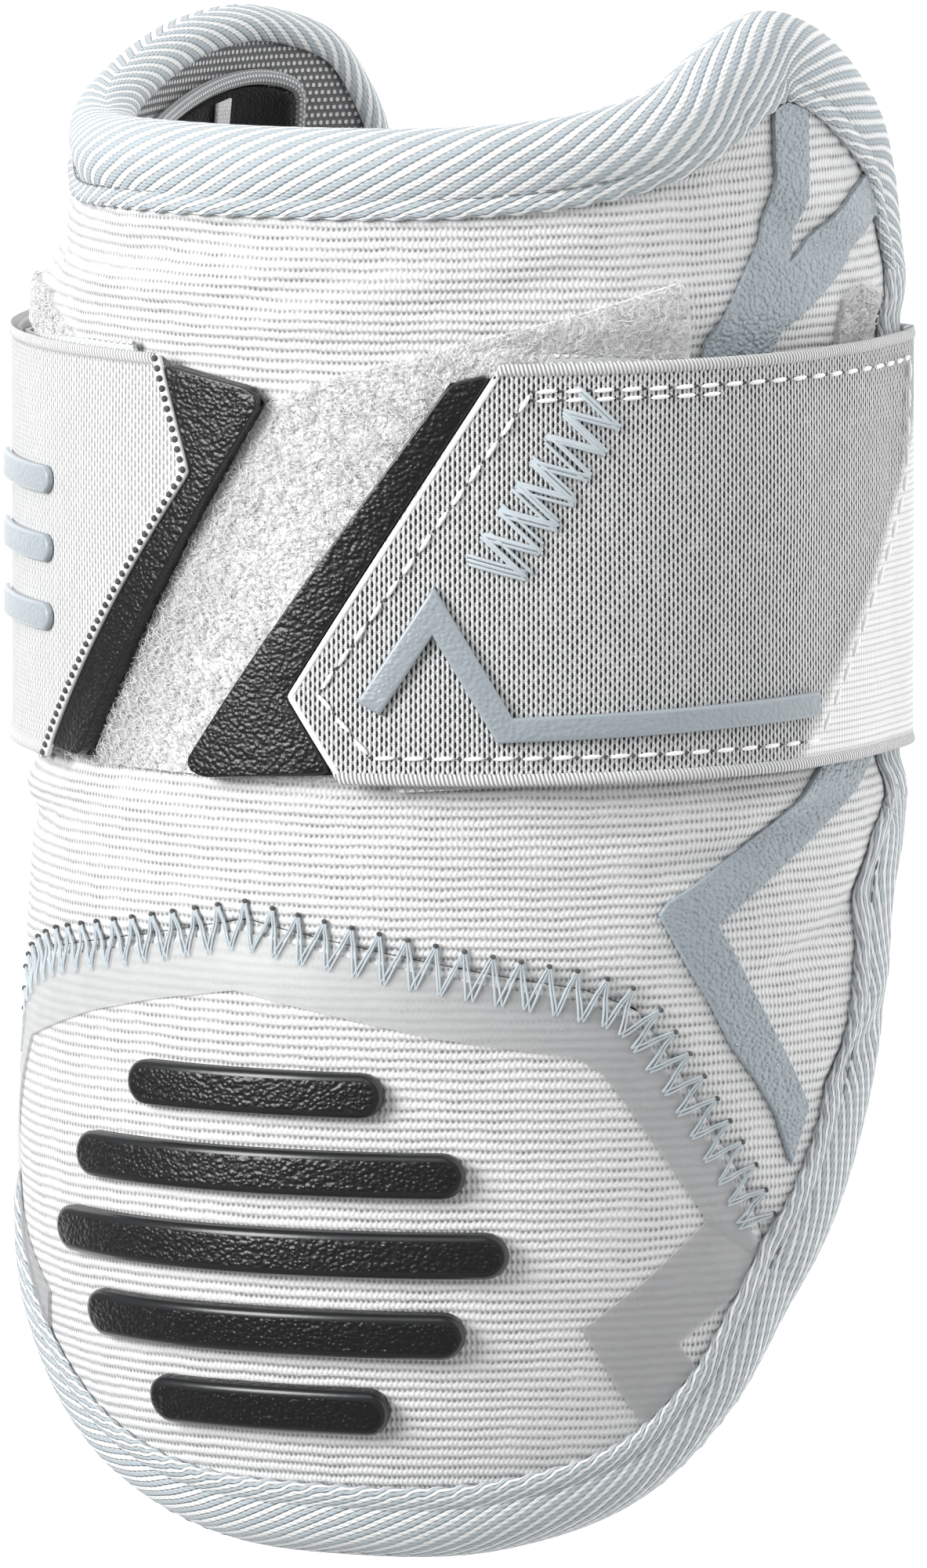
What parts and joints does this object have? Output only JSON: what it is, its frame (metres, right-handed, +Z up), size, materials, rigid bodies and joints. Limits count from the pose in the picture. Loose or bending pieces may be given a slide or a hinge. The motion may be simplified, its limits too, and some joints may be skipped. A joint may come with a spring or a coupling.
{
  "type": "batter's elbow guard",
  "caption": "Padded rib-knit guard for a batter's elbow, with an elbow cup, a folded binding and a wide elastic strap that closes on the front.",
  "frame": {"origin": "middle of the strap's flat back, on the surface that the guard rests on", "axes": "+Z up out of the guard's front, +Y along it towards the collar at the upper arm, +X towards its right side as seen from the front with the collar up"},
  "size_m": [0.1333, 0.2221, 0.1055],
  "materials": {
    "rib_knit": "matte rib knit over foam",
    "white_mesh": "matte woven mesh",
    "black_lining": "matte brushed knit",
    "striped_binding": "matte diagonal twill in white and grey blue",
    "loop_pile": "matte curly loop pile",
    "hook_tape": "fine moulded hooks",
    "woven_elastic": "matte woven elastic",
    "black_rubber": "grained satin",
    "grey_rubber": "satin",
    "grey_film": "embossed satin film",
    "clear_film": "clear welded film over knit"
  },
  "bodies": {
    "root": {"sleeve_pad": "rib_knit", "elbow_cup": "rib_knit", "mesh_facing": "white_mesh", "inner_pad": "black_lining", "pad_piping": "white_mesh", "pad_tape": "white_mesh", "edge_binding": "striped_binding", "loop_panel_front": "loop_pile", "loop_panel_left": "loop_pile", "loop_panel_right": "loop_pile", "hook_patch_left": "hook_tape", "hook_patch_right": "hook_tape", "arm_strap": "woven_elastic", "pull_tab_left": "black_rubber", "pull_tab_right": "black_rubber", "strap_stripe": "grey_rubber", "strap_bar_1": "grey_rubber", "strap_bar_2": "grey_rubber", "strap_bar_3": "grey_rubber", "flap_stripe": "grey_film", "side_stripe": "grey_film", "seam_film": "clear_film", "bumper_bar_1": "black_rubber", "bumper_bar_2": "black_rubber", "bumper_bar_3": "black_rubber", "bumper_bar_4": "black_rubber", "bumper_bar_5": "black_rubber"}
  },
  "joints": []
}
